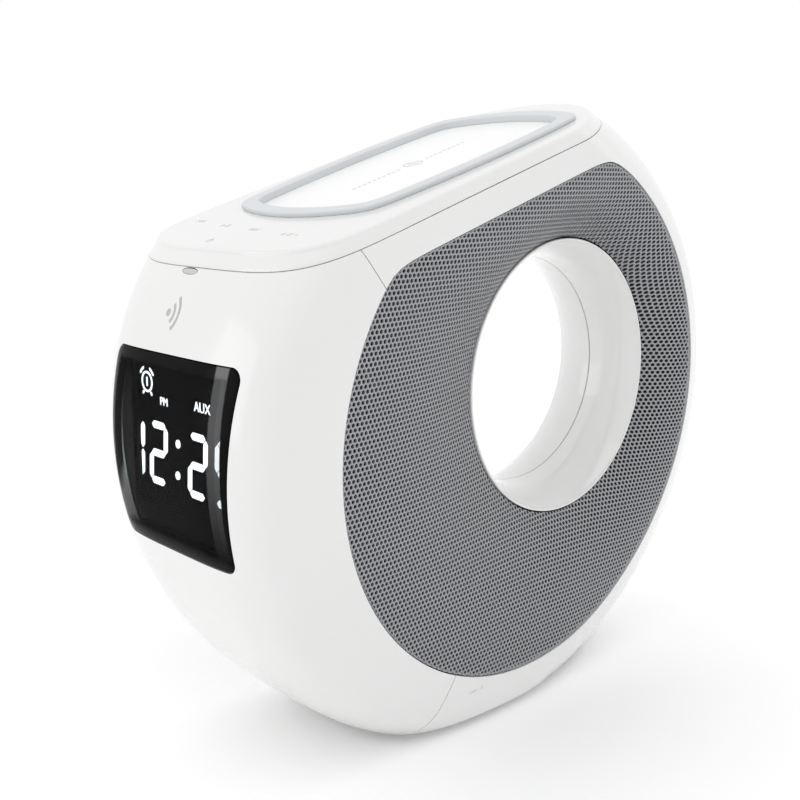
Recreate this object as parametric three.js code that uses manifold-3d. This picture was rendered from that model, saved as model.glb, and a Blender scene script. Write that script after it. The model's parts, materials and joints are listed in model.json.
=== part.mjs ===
// Ring-shaped clock radio with a phone charging pad on its sloping top.
// Millimetres, +Z up, display towards -Y, origin on the floor under the middle of the body.
import * as THREE from 'three';
import { mergeVertices } from 'three/addons/utils/BufferGeometryUtils.js';
import Module from 'manifold-3d';

const wasm = await Module();
wasm.setup();

// ---- driving dimensions -------------------------------------------------------------------------
const GAP = 0.3;                 // clearance between neighbouring pieces
const WALL = 2.4;                // casing wall
const CROWN = { y: 0, z: 88.2, ry: 106.7, rz: 99.1 };   // outline of the body in its middle plane
const SIDE = { y: -1.9, z: 90.2, flat: 80.6 };          // centre and reach of the flat sides
const SIDE_HALF_WIDTH = 35;      // half width of the body at the side centre
const TAPER_Y = -0.056;          // the body narrows towards the back
const TAPER_Z = 0.059;           // and widens towards the top
const REAR = { round: 36, square: 0.55 };                // the sides round off earlier at the back
const BORE = { y: 23.5, z: 98, r: 43, waist: 36.7, x: 19.7, toe: -0.06 };
const DECK_TILT = THREE.MathUtils.degToRad(18);         // the top slopes down to the front
const DECK = 76.4;               // deck, seam and grille edge: heights over the bore centre
const SEAM = 72.3;
const GRILLE_TOP = 63.9;
const GRILLE_R = 77.2;
const GRILLE_REAR = 7.5;         // the grille reaches further towards the back
const GRILLE_THICK = 1;
const GRILLE_CORNER = 1.6;
const BASE_Z = 2.3;              // underside of the casing
const BASE_THICK = 2.4;
const PAD = { half: 32.6, front: -72.1, rear: 24.6, rim: 4.8, proud: 1.3, sideR: 330, endR: 66, corner: 2.2 };
const WINDOW = { top: 114.6, bottom: 63.8, halfTop: 29.5, halfBottom: 26.3, round: 3.5 };
const STATUS = { x: -4.6, z: 135.2, half: 3.7, rise: 0.75 };
const DRIVER = { y: -58, z: 88, flange: 22.6, front: 24.6 };
const SOCKETS = { y: 92, z: 38, w: 30, h: 18, tilt: THREE.MathUtils.degToRad(-32), floor: -8.5, wall: 1.2 };
const SOCKET_X = { dc: -9.2, aux: 0, usb: 9 };         // places along the socket tray
const PANEL = { y: -98.4, w: 50, h: 45, z: 88.6, thick: 3 };
const BAFFLE = { sink: 2.4, thick: 1.6, inset: -1.4, bore: 1.6 };
const BASE_SCREWS = [[14, -25], [-14, -25], [13, 14], [-13, 14]];     // x, y
const BOARD_SCREWS = [[-24, 16], [-24, 44], [40, 16], [40, 44]];      // y, z
const FEET = [[13, -38], [-13, -38], [11, 30], [-11, 30]];            // x, y
const FOOT_R = 5;
const BOARD_X = 6;

// ---- materials ----------------------------------------------------------------------------------
function paint(color, roughness, metalness = 0) {
  return new THREE.MeshStandardMaterial({ color, roughness, metalness });
}

const WHITE = paint(0xf2f2f1, 0.22);
const LINER_WHITE = paint(0xeeeeee, 0.18);
const BLACK = paint(0x101010, 0.5);
const GLASS = paint(0x0a0a0b, 0.08);
const MESH_GREY = paint(0x8c8e92, 0.45, 0.8);
const RUBBER_GREY = paint(0xd3d8dc, 0.65);
const RUBBER_BLACK = paint(0x1b1b1c, 0.8);
const BOARD_GREEN = paint(0x1d5a35, 0.6);
const COPPER = paint(0xb5683a, 0.35, 1);
const FERRITE = paint(0x3a3a3d, 0.7);
const STEEL = paint(0xb8babd, 0.3, 1);
const PAPER = paint(0x242426, 0.9);

// ---- solids -------------------------------------------------------------------------------------
function solid(geometry) {
  const g = geometry.index ? geometry.clone() : geometry;
  for (const name of Object.keys(g.attributes)) if (name !== 'position') g.deleteAttribute(name);
  const merged = outward(mergeVertices(g, 1e-5));
  const index = Array.from(merged.index.array);
  const kept = [];
  for (let i = 0; i < index.length; i += 3) {
    const [a, b, c] = index.slice(i, i + 3);
    if (a !== b && b !== c && a !== c) kept.push(a, b, c);
  }
  return new wasm.Manifold(new wasm.Mesh({
    numProp: 3,
    vertProperties: new Float32Array(merged.attributes.position.array),
    triVerts: new Uint32Array(kept),
  }));
}

function geometryOf(manifold) {
  const mesh = manifold.getMesh();
  const g = new THREE.BufferGeometry();
  g.setAttribute('position', new THREE.BufferAttribute(new Float32Array(mesh.vertProperties), 3));
  g.setIndex(new THREE.BufferAttribute(new Uint32Array(mesh.triVerts), 1));
  g.computeVertexNormals();
  return g;
}

// A closed surface from rows of points: each row is a closed loop, and the rows close on themselves.
function torusOf(rows) {
  const n = rows.length;
  const m = rows[0].length;
  const index = [];
  for (let i = 0; i < n; i++) {
    for (let j = 0; j < m; j++) {
      const a = i * m + j;
      const b = ((i + 1) % n) * m + j;
      const c = ((i + 1) % n) * m + ((j + 1) % m);
      const d = i * m + ((j + 1) % m);
      index.push(a, b, c, a, c, d);
    }
  }
  return closed(rows.flat(), index);
}

function closed(points, index) {
  const g = new THREE.BufferGeometry();
  g.setAttribute('position', new THREE.BufferAttribute(new Float32Array(points.flat()), 3));
  g.setIndex(index);
  return outward(g);
}

// Turns every face round if the surface encloses a negative volume.
function outward(g) {
  const p = g.attributes.position;
  const ix = g.index.array;
  const [a, b, c] = [new THREE.Vector3(), new THREE.Vector3(), new THREE.Vector3()];
  let volume = 0;
  for (let i = 0; i < ix.length; i += 3) {
    a.fromBufferAttribute(p, ix[i]);
    b.fromBufferAttribute(p, ix[i + 1]);
    c.fromBufferAttribute(p, ix[i + 2]);
    volume += a.dot(b.cross(c));
  }
  if (volume < 0) for (let i = 0; i < ix.length; i += 3) [ix[i], ix[i + 1]] = [ix[i + 1], ix[i]];
  return g;
}

const placed = (geometry, matrix) => geometry.clone().applyMatrix4(matrix);

function boxAt(x0, x1, y0, y1, z0, z1) {
  const g = new THREE.BoxGeometry(x1 - x0, y1 - y0, z1 - z0);
  return g.translate((x0 + x1) / 2, (y0 + y1) / 2, (z0 + z1) / 2);
}

// A prism along X from an outline of [y, z] points.
function prismX(outline, x0, x1) {
  const shape = new THREE.Shape(outline.map(([y, z]) => new THREE.Vector2(y, z)));
  const g = new THREE.ExtrudeGeometry(shape, { depth: x1 - x0, bevelEnabled: false });
  // shape x -> Y, shape y -> Z, depth -> X
  g.applyMatrix4(new THREE.Matrix4().set(0, 0, 1, x0, 1, 0, 0, 0, 0, 1, 0, 0, 0, 0, 0, 1));
  return g;
}

// A turned piece about the X axis through (y, z), from a closed profile of [x, radius] points.
function turnedX(profile, y, z, sides = 32) {
  const points = profile.map(([x, r]) => new THREE.Vector2(r, x));
  points.push(points[0].clone());
  const g = new THREE.LatheGeometry(points, sides);
  g.applyMatrix4(new THREE.Matrix4().set(0, 1, 0, 0, 1, 0, 0, y, 0, 0, 1, z, 0, 0, 0, 1));
  return g;
}

const mirrored = (g) => placed(g, new THREE.Matrix4().makeScale(-1, 1, 1));

// ---- body surface -------------------------------------------------------------------------------
const lerp = THREE.MathUtils.lerp;

// Distance from the side centre to the body's outline, grown by `grow`.
function crownReach(angle, grow) {
  const [c, s] = [Math.cos(angle), Math.sin(angle)];
  const [ry, rz] = [CROWN.ry + grow, CROWN.rz + grow];
  const [dy, dz] = [SIDE.y - CROWN.y, SIDE.z - CROWN.z];
  const a = (c / ry) ** 2 + (s / rz) ** 2;
  const b = 2 * ((dy * c) / ry ** 2 + (dz * s) / rz ** 2);
  const k = (dy / ry) ** 2 + (dz / rz) ** 2 - 1;
  return (-b + Math.sqrt(b * b - 4 * a * k)) / (2 * a);
}

const sideX = (y, z) => SIDE_HALF_WIDTH + TAPER_Y * (y - SIDE.y) + TAPER_Z * (z - SIDE.z);

// The edge between side and outline is square at the front and round at the back.
const rearness = (angle, power = 1.5) => Math.max(0, Math.cos(angle)) ** power;
const edgePower = (angle) => Math.max(1.9, 2.25 - 1.85 * Math.cos(angle)) + REAR.square * rearness(angle);
const flatReach = (angle, grow = 0) => SIDE.flat - REAR.round * rearness(angle) + grow / 2;

// Half width of the body over a place of its side view.
function bodyX(y, z) {
  const angle = Math.atan2(z - SIDE.z, y - SIDE.y);
  const flat = flatReach(angle);
  const power = edgePower(angle);
  const depth = Math.max(0, (Math.hypot(y - SIDE.y, z - SIDE.z) - flat) / (crownReach(angle, 0) - flat));
  return sideX(y, z) * (1 - depth ** power) ** (1 / power);
}

// The whole body as one closed pebble, offset by `grow`.
function pebble(grow, sides = 48, steps = 6) {
  const points = [];
  const row = [];
  for (let i = 0; i < sides; i++) {
    const angle = (2 * Math.PI * i) / sides;
    const reach = crownReach(angle, grow);
    const flat = flatReach(angle, grow);
    const power = edgePower(angle);
    const half = [];
    for (let j = 0; j <= steps; j++) {
      const t = (j / steps) * (Math.PI / 2);
      const [ct, st] = [Math.cos(t) ** (2 / power), Math.sin(t) ** (2 / power)];
      const r = flat + (reach - flat) * st;
      const y = SIDE.y + r * Math.cos(angle);
      const z = SIDE.z + r * Math.sin(angle);
      half.push([(sideX(y, z) + grow) * (j === steps ? 0 : ct), y, z]);
    }
    row.push([...half, ...half.slice(0, -1).reverse().map(([x, y, z]) => [-x, y, z])]);
  }
  const m = row[0].length;
  const index = [];
  for (const r of row) points.push(...r);
  const top = points.push([sideX(SIDE.y, SIDE.z) + grow, SIDE.y, SIDE.z]) - 1;
  const bottom = points.push([-sideX(SIDE.y, SIDE.z) - grow, SIDE.y, SIDE.z]) - 1;
  for (let i = 0; i < sides; i++) {
    const k = (i + 1) % sides;
    for (let j = 0; j < m - 1; j++) {
      index.push(i * m + j, k * m + j, k * m + j + 1, i * m + j, k * m + j + 1, i * m + j + 1);
    }
    index.push(top, k * m, i * m, bottom, i * m + m - 1, k * m + m - 1);
  }
  return solid(closed(points, index));
}

// ---- deck frame ---------------------------------------------------------------------------------
// Deck coordinates: x across, y along the slope towards the back, z over the bore centre.
const deckMatrix = new THREE.Matrix4()
  .makeTranslation(0, BORE.y, BORE.z)
  .multiply(new THREE.Matrix4().makeRotationX(DECK_TILT));
const onDeck = (g) => placed(g, deckMatrix);
const deckSlab = (z0, z1) => solid(onDeck(boxAt(-80, 80, -190, 190, z0, z1)));

// Distance from a point to a circle round (x, y) along an angle, from inside the circle.
function rayToCircle(angle, x, y, r) {
  const along = Math.cos(angle) * x + Math.sin(angle) * y;
  return along + Math.sqrt(along ** 2 - x ** 2 - y ** 2 + r ** 2);
}

// The least of several lengths, with a soft corner where two are nearly equal.
function softLeast(lengths, blend) {
  const sum = lengths.reduce((total, length) => total + Math.exp(-length / blend), 0);
  return -blend * Math.log(sum);
}

// Outline of the charging pad's rim, inset by `inset`: four shallow arcs with soft corners.
function padOutline(inset, sides = 44) {
  const half = PAD.half - inset;
  const end = (PAD.rear - PAD.front) / 2 - inset;
  const mid = (PAD.front + PAD.rear) / 2;
  const [sideR, endR] = [PAD.sideR - inset, PAD.endR - inset];
  const points = [];
  for (let i = 0; i < sides; i++) {
    const angle = (2 * Math.PI * i) / sides;
    const reach = softLeast([
      rayToCircle(angle, half - sideR, 0, sideR), rayToCircle(angle, sideR - half, 0, sideR),
      rayToCircle(angle, 0, end - endR, endR), rayToCircle(angle, 0, endR - end, endR),
    ], PAD.corner);
    points.push([reach * Math.cos(angle), mid + reach * Math.sin(angle)]);
  }
  return points;
}

function prismDeck(outline, z0, z1) {
  const shape = new THREE.Shape(outline.map(([x, y]) => new THREE.Vector2(x, y)));
  const g = new THREE.ExtrudeGeometry(shape, { depth: z1 - z0, bevelEnabled: false });
  return onDeck(g.translate(0, 0, z0));
}

// ---- grille outline and dish --------------------------------------------------------------------
const SIDE_TO_BORE = [SIDE.y - BORE.y, SIDE.z - BORE.z];

// Distance from the bore centre to the grille's edge: a circle cut straight along the deck.
function grilleReach(angle, grow = 0) {
  const [c, s] = [Math.cos(angle), Math.sin(angle)];
  const [dy, dz] = SIDE_TO_BORE;
  let circle = rayToCircle(angle, dy, dz, GRILLE_R + grow);
  for (let i = 0; i < 5; i++) {
    const turn = Math.atan2(circle * s - dz, circle * c - dy);
    circle = rayToCircle(angle, dy, dz, GRILLE_R + grow + GRILLE_REAR * rearness(turn, 2.5));
  }
  const rise = -c * Math.sin(DECK_TILT) + s * Math.cos(DECK_TILT);
  if (rise <= 0.2) return circle;
  const straight = (GRILLE_TOP + grow) / rise;
  return softLeast([circle, straight], GRILLE_CORNER);
}

const boreX = (angle) => BORE.x + BORE.toe * BORE.r * Math.cos(angle);

// A point of the dished grille: share 0 on the bore's edge, 1 on the grille's outer edge.
function grillePoint(angle, share, sink, grow, gap) {
  const inner = BORE.r + gap;
  const outer = grilleReach(angle, grow);
  const r = lerp(inner, outer, share);
  const y = BORE.y + r * Math.cos(angle);
  const z = BORE.z + r * Math.sin(angle);
  const [edgeY, edgeZ] = [BORE.y + outer * Math.cos(angle), BORE.z + outer * Math.sin(angle)];
  const rim = sideX(y, z) + bodyX(edgeY, edgeZ) - sideX(edgeY, edgeZ) - 0.4;
  const drop = (1 - share) ** (2 - 0.5 * Math.max(0, Math.cos(angle)));
  return [lerp(rim, boreX(angle), drop) - sink, y, z];
}

function grilleSkin(sink, thick, grow, rings = 5, sides = 48, gap = GAP) {
  const rows = [];
  for (let i = 0; i < sides; i++) {
    const angle = (2 * Math.PI * i) / sides;
    const top = [];
    const under = [];
    for (let j = 0; j <= rings; j++) {
      top.push(grillePoint(angle, j / rings, sink, grow, gap));
      under.push(grillePoint(angle, j / rings, sink + thick, grow, gap));
    }
    rows.push([...top, ...under.reverse()]);
  }
  return torusOf(rows);
}

function grilleHole(x0, x1, grow, sides = 48) {
  const outline = [];
  for (let i = 0; i < sides; i++) {
    const angle = (2 * Math.PI * i) / sides;
    const r = grilleReach(angle, grow);
    outline.push([BORE.y + r * Math.cos(angle), BORE.z + r * Math.sin(angle)]);
  }
  return prismX(outline, x0, x1);
}

// ---- casing -------------------------------------------------------------------------------------
const outer = pebble(0);
const inner = pebble(-WALL);
const innerFit = pebble(-WALL - GAP);
const casing = outer.subtract(inner);

// The seam between front and rear casing: down from the lid, round the grille, out to the base.
const seamLine = (shift) => [
  [-84 + shift, 152], [-66 + shift, 131], [-33 + shift, 21], [-47 + shift, 0],
];
const inFront = solid(prismX([[-140, -20], [-140, 170], ...seamLine(0), [-47, -20]], -60, 60));
const rearOutline = [...seamLine(GAP), [-47 + GAP, -20], [140, -20], [140, 230], [-84 + GAP, 230]];
const behind = solid(prismX(rearOutline, -60, 60));
const underLid = deckSlab(-220, SEAM).intersect(solid(boxAt(-80, 80, -140, 140, BASE_Z, 230)));
const grilleOpenings = solid(grilleHole(8, 60, GAP)).add(solid(mirrored(grilleHole(8, 60, GAP))));

function windowPrism(grow) {
  const { top, bottom, halfTop, halfBottom, round } = WINDOW;
  const shape = new THREE.Shape();
  const [t, b, ht, hb, r] = [top + grow, bottom - grow, halfTop + grow, halfBottom + grow, round];
  shape.moveTo(-hb + r, b);
  shape.lineTo(hb - r, b);
  shape.quadraticCurveTo(hb, b, hb + 0.1, b + r);
  shape.lineTo(ht - 0.1, t - r);
  shape.quadraticCurveTo(ht, t, ht - r, t);
  shape.lineTo(-ht + r, t);
  shape.quadraticCurveTo(-ht, t, -ht + 0.1, t - r);
  shape.lineTo(-hb - 0.1, b + r);
  shape.quadraticCurveTo(-hb, b, -hb + r, b);
  const g = new THREE.ExtrudeGeometry(shape, { depth: 60, bevelEnabled: false, curveSegments: 4 });
  // shape y -> Z, depth -> +Y
  g.applyMatrix4(new THREE.Matrix4().set(1, 0, 0, 0, 0, 0, 1, -130, 0, 1, 0, 0, 0, 0, 0, 1));
  return g;
}

const statusPrism = (grow) => {
  const radius = STATUS.rise + grow;
  const g = new THREE.CylinderGeometry(radius, radius, 24, 16).scale((STATUS.half + grow) / radius, 1, 1);
  return g.translate(STATUS.x, -96, STATUS.z);
};

function frontShell() {
  return casing.intersect(inFront).intersect(underLid).subtract(grilleOpenings)
    .subtract(solid(windowPrism(GAP))).subtract(solid(statusPrism(GAP)));
}

const socketMatrix = new THREE.Matrix4()
  .makeTranslation(0, SOCKETS.y, SOCKETS.z)
  .multiply(new THREE.Matrix4().makeRotationX(SOCKETS.tilt));
const atSockets = (g) => placed(g, socketMatrix);
const socketBox = (w, h, y0, y1, x = 0) => atSockets(boxAt(x - w / 2, x + w / 2, y0, y1, -h / 2, h / 2));

function rearShell() {
  return casing.intersect(behind).intersect(underLid).subtract(grilleOpenings)
    .subtract(solid(socketBox(SOCKETS.w + 2 * GAP, SOCKETS.h + 2 * GAP, -14, 12)));
}

function topCover() {
  const lid = outer.intersect(deckSlab(SEAM + GAP, DECK));
  const hollow = inner.intersect(deckSlab(SEAM - 2, DECK - 2));
  return lid.subtract(hollow).subtract(solid(prismDeck(padOutline(PAD.rim / 2), SEAM - 5, DECK + 5)));
}

function basePlate(screws) {
  let plate = innerFit.intersect(solid(boxAt(-80, 80, -140, 140, BASE_Z, BASE_Z + BASE_THICK)));
  for (const [x, y] of screws) {
    plate = plate.subtract(solid(cylinderZ(1.6 + GAP, BASE_Z - 1, BASE_Z + 5, x, y)));
    plate = plate.subtract(solid(cylinderZ(3 + GAP, BASE_Z - 1, BASE_Z + 1.3, x, y)));
  }
  return plate;
}

function cylinderZ(r, z0, z1, x, y, sides = 16) {
  const g = new THREE.CylinderGeometry(r, r, z1 - z0, sides).rotateX(Math.PI / 2);
  return g.translate(x, y, (z0 + z1) / 2);
}

function cylinderX(r, x0, x1, y, z, sides = 16) {
  const g = new THREE.CylinderGeometry(r, r, x1 - x0, sides).rotateZ(Math.PI / 2);
  return g.translate((x0 + x1) / 2, y, z);
}

// ---- bore liner ---------------------------------------------------------------------------------
function boreLiner() {
  const rows = [];
  const sides = 44;
  const steps = 4;
  for (let i = 0; i < sides; i++) {
    const angle = (2 * Math.PI * i) / sides;
    const edge = boreX(angle) + 0.5;
    const at = (x, r) => [x, BORE.y + r * Math.cos(angle), BORE.z + r * Math.sin(angle)];
    const face = [];
    const back = [];
    for (let j = 0; j <= steps; j++) {
      const share = j / steps;
      const x = lerp(GAP / 2, edge, share);
      const r = BORE.waist + (BORE.r - BORE.waist) * share ** 2.2;
      face.push(at(x, r - (j === steps ? 0.6 : 0)));
      back.push(at(x, Math.min(r + 2, BORE.r - 0.1)));
    }
    rows.push([...face, ...back.reverse()]);
  }
  return torusOf(rows);
}

// ---- display ------------------------------------------------------------------------------------
function displayWindow() {
  const skin = outer.subtract(pebble(-2));
  return skin.intersect(solid(windowPrism(0))).intersect(solid(boxAt(-60, 60, -130, -80, 0, 200)));
}

function displayPanel() {
  const { y, w, h, z, thick } = PANEL;
  return boxAt(-w / 2, w / 2, y, y + thick, z - h / 2, z + h / 2);
}

function displayFrame() {
  const [w, h] = [PANEL.w / 2 + GAP, PANEL.h / 2 + GAP];
  const block = boxAt(-w - 2.4, w + 2.4, PANEL.y - 1.2, PANEL.y + 6, PANEL.z - h - 2, PANEL.z + h + 2);
  const hole = boxAt(-w, w, PANEL.y - 3, PANEL.y + 8, PANEL.z - h, PANEL.z + h);
  return solid(block).subtract(solid(hole)).intersect(innerFit);
}

// ---- loudspeakers -------------------------------------------------------------------------------
function speakerFrame() {
  const { front: f, flange } = DRIVER;
  return turnedX([
    [f, flange], [f, flange - 3], [f - 1.6, flange - 3], [f - 9.4, 12], [f - 10.8, 12],
    [f - 10.8, 14.4], [f - 2.8, flange - 1.2], [f - 1.4, flange],
  ], DRIVER.y, DRIVER.z, 28);
}

function speakerMagnet() {
  const x = DRIVER.front - 10.8 - GAP;
  return turnedX([[x, 0], [x, 13.5], [x - 9, 13.5], [x - 9, 0]], DRIVER.y, DRIVER.z, 24);
}

function speakerCone() {
  const f = DRIVER.front - 0.6;
  return turnedX([
    [f - 3.2, 0], [f - 3.7, 3.6], [f - 4.9, 6.6], [f - 1, 15.6], [f - 1.9, 15.6], [f - 5.9, 6.4], [f - 4.6, 3],
    [f - 4.2, 0],
  ], DRIVER.y, DRIVER.z, 28);
}

function speakerSurround() {
  const f = DRIVER.front - 0.6;
  return turnedX([
    [f, 19.2], [f + 0.9, 18.4], [f + 0.9, 17.2], [f - 0.2, 15.95], [f - 0.9, 15.95], [f + 0.2, 17.4],
    [f + 0.2, 18.2], [f - 0.6, 19.2],
  ], DRIVER.y, DRIVER.z, 24);
}

// Plate behind the grille, with a collar that the driver is bonded into.
function baffle() {
  const { sink, thick, inset, bore } = BAFFLE;
  const plate = solid(grilleSkin(sink, thick, inset, 4, 44, bore));
  const below = solid(grilleSkin(sink, 40, inset, 4, 44, bore));
  const collar = solid(cylinderX(DRIVER.flange + 2, DRIVER.front + GAP, 60, DRIVER.y, DRIVER.z, 28));
  const hole = solid(cylinderX(DRIVER.flange - 3, 5, 60, DRIVER.y, DRIVER.z, 28));
  return plate.add(collar.intersect(below)).subtract(hole);
}

// ---- inside the top -----------------------------------------------------------------------------
function chargingPad() {
  return solid(prismDeck(padOutline(PAD.rim / 2 + GAP), DECK - 3, DECK - 0.8));
}

function padRing() {
  const ring = solid(prismDeck(padOutline(0), DECK + GAP, DECK + PAD.proud))
    .subtract(solid(prismDeck(padOutline(PAD.rim), DECK - 5, DECK + 8)));
  return ring;
}

function chargingCoil() {
  const z = DECK - 5.4;
  const g = new THREE.LatheGeometry([
    new THREE.Vector2(9, z), new THREE.Vector2(22, z), new THREE.Vector2(22, z + 1.6),
    new THREE.Vector2(9, z + 1.6), new THREE.Vector2(9, z),
  ], 32);
  return onDeck(g.applyMatrix4(new THREE.Matrix4().set(1, 0, 0, 0, 0, 0, -1, -24, 0, 1, 0, 0, 0, 0, 0, 1)));
}

const ferritePlate = () => onDeck(boxAt(-24, 24, -48, 0, DECK - 6.9, DECK - 5.7));
const chargingBoard = () => onDeck(boxAt(-25, 25, -52, 4, DECK - 10, DECK - 8.4));
const touchBoard = () => onDeck(boxAt(-24, 24, -92, -76, DECK - 4.2, DECK - 2.4));

// ---- chassis and electronics --------------------------------------------------------------------
const CHASSIS_FOOT = BASE_Z + BASE_THICK + GAP;

// An upright web in the middle plane with a foot that the base plate is screwed to.
function chassis() {
  const slab = solid(boxAt(-1.4, 1.4, -88, 84, CHASSIS_FOOT, 190));
  let web = innerFit.intersect(slab).intersect(deckSlab(-220, DECK - 12));
  web = web.subtract(solid(cylinderX(BORE.waist + 5, -5, 5, BORE.y, BORE.z, 48)));
  web = web.subtract(solid(boxAt(-5, 5, -130, -84, 50, 130)));
  web = web.subtract(solid(boxAt(-5, 5, 66, 120, 26, 58)));
  let frame = web.add(innerFit.intersect(solid(boxAt(-19, 19, -42, 42, CHASSIS_FOOT, CHASSIS_FOOT + 3))));
  for (const [y, z] of BOARD_SCREWS) frame = frame.add(solid(cylinderX(3, 0, BOARD_X - GAP, y, z)));
  for (const [x, y] of BASE_SCREWS) {
    frame = frame.add(solid(cylinderZ(3.4, CHASSIS_FOOT, CHASSIS_FOOT + 8, x, y)));
    frame = frame.subtract(solid(cylinderZ(1.5 + GAP, CHASSIS_FOOT - 1, CHASSIS_FOOT + 6, x, y)));
  }
  for (const [y, z] of BOARD_SCREWS) frame = frame.subtract(solid(cylinderX(1.2 + GAP, 1, BOARD_X + 1, y, z)));
  return frame;
}

function mainBoard() {
  let board = solid(boxAt(BOARD_X, BOARD_X + 1.6, -30, 46, 11.5, 49));
  for (const [y, z] of BOARD_SCREWS) board = board.subtract(solid(cylinderX(1.2 + GAP, 0, 20, y, z)));
  return board;
}

const backupCell = () => cylinderX(6.2, BOARD_X + 1.6 + GAP, BOARD_X + 5, 0, 36, 24);

function boardScrew(y, z) {
  const x = BOARD_X + 1.6 + GAP;
  return turnedX([[x + 1.6, 0], [x + 1.4, 2.2], [x, 2.4], [x, 1.2], [x - 5.6, 1.2], [x - 5.6, 0]], y, z, 12);
}

function baseScrew(x, y) {
  const z = BASE_Z + 0.2;
  const profile = [[0, z], [3, z], [3, z + 0.8], [1.5, z + 0.8], [1.5, z + 7.6], [0, z + 7.6]];
  const g = new THREE.LatheGeometry(profile.map(([r, h]) => new THREE.Vector2(r, h)), 12);
  return g.rotateX(Math.PI / 2).translate(x, y, 0);
}

const foot = (x, y) => cylinderZ(FOOT_R, 0, BASE_Z - GAP, x, y, 24);

// ---- sockets ------------------------------------------------------------------------------------

// A tray sunk into the round back: its walls end at the casing's surface.
function socketPanel() {
  const { w, h, floor, wall } = SOCKETS;
  const block = solid(socketBox(w, h, floor - 2, 4)).intersect(pebble(-0.5));
  const round = (r, x) => solid(atSockets(new THREE.CylinderGeometry(r, r, 10, 20).translate(x, floor, 0)));
  return block.subtract(solid(socketBox(w - 2 * wall, h - 2 * wall, floor, 8)))
    .subtract(round(4.3 + GAP, SOCKET_X.dc)).subtract(round(3.1 + GAP, SOCKET_X.aux))
    .subtract(solid(socketBox(9.2 + 2 * GAP, 3.4 + 2 * GAP, floor - 5, floor + 5, SOCKET_X.usb)));
}

function roundSocket(x, outerR, innerR, pin) {
  const core = pin ? [[0, -2], [pin, -2], [pin, -9]] : [[0, -9]];
  const profile = [[outerR, -0.2], [outerR, -11], [0, -11], ...core, [innerR, -9], [innerR, -0.2]];
  const points = [...profile, profile[0]].map(([r, h]) => new THREE.Vector2(r, h + SOCKETS.floor));
  return atSockets(new THREE.LatheGeometry(points, 20).translate(x, 0, 0));
}

function usbSocket() {
  const { floor } = SOCKETS;
  const part = (w, h, near, far) => solid(socketBox(w, h, floor + near, floor + far, SOCKET_X.usb));
  return part(9.2, 3.4, -11, -0.2).subtract(part(8, 2.4, -7, 2)).add(part(6.4, 0.7, -8, -1));
}

const socketBoard = () => solid(socketBox(28, 12, SOCKETS.floor - 13, SOCKETS.floor - 11.4));

// ---- assembly -----------------------------------------------------------------------------------
const radio = new THREE.Group();

function add(name, shape, material) {
  const geometry = shape.isBufferGeometry ? geometryOf(solid(shape)) : geometryOf(shape);
  const mesh = new THREE.Mesh(geometry, material);
  mesh.name = name;
  radio.add(mesh);
}

add('front_shell', frontShell(), WHITE);
add('rear_shell', rearShell(), WHITE);
add('top_cover', topCover(), WHITE);
add('base_plate', basePlate(BASE_SCREWS), WHITE);
add('display_window', displayWindow(), GLASS);
add('display_panel', displayPanel(), BLACK);
add('display_frame', displayFrame(), BLACK);
add('status_lens', outer.subtract(pebble(-2)).intersect(solid(statusPrism(0)))
  .intersect(solid(boxAt(-20, 20, -140, -60, 0, 200))), BLACK);
add('charging_pad', chargingPad(), WHITE);
add('pad_ring', padRing(), RUBBER_GREY);
add('charging_coil', chargingCoil(), COPPER);
add('ferrite_plate', ferritePlate(), FERRITE);
add('charging_board', chargingBoard(), BOARD_GREEN);
add('touch_board', touchBoard(), BOARD_GREEN);
add('chassis', chassis(), BLACK);
add('main_board', mainBoard(), BOARD_GREEN);
add('backup_cell', backupCell(), STEEL);
add('socket_panel', socketPanel(), BLACK);
add('socket_board', socketBoard(), BOARD_GREEN);
add('dc_jack', roundSocket(SOCKET_X.dc, 4.3, 2.9, 1), BLACK);
add('aux_jack', roundSocket(SOCKET_X.aux, 3.1, 1.8, 0), BLACK);
add('usb_socket', usbSocket(), STEEL);

for (const [side, turn] of [['right', (g) => g], ['left', mirrored]]) {
  add(`grille_${side}`, turn(grilleSkin(0, GRILLE_THICK, 0)), MESH_GREY);
  add(`bore_liner_${side}`, turn(boreLiner()), LINER_WHITE);
  add(`baffle_${side}`, turn(geometryOf(baffle())), BLACK);
  add(`speaker_frame_${side}`, turn(speakerFrame()), BLACK);
  add(`speaker_magnet_${side}`, turn(speakerMagnet()), STEEL);
  add(`speaker_cone_${side}`, turn(speakerCone()), PAPER);
  add(`speaker_surround_${side}`, turn(speakerSurround()), RUBBER_BLACK);
}

BASE_SCREWS.forEach(([x, y], i) => add(`base_screw_${i + 1}`, baseScrew(x, y), STEEL));
BOARD_SCREWS.forEach(([y, z], i) => add(`board_screw_${i + 1}`, boardScrew(y, z), STEEL));
FEET.forEach(([x, y], i) => add(`foot_${i + 1}`, foot(x, y), RUBBER_BLACK));

export default radio;
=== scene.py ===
"""Ring-shaped clock radio with a charging top: the finished look around its fixed frame."""
import json
import math

import bmesh
import bpy
import numpy as np
from mathutils import Matrix, Vector


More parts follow.
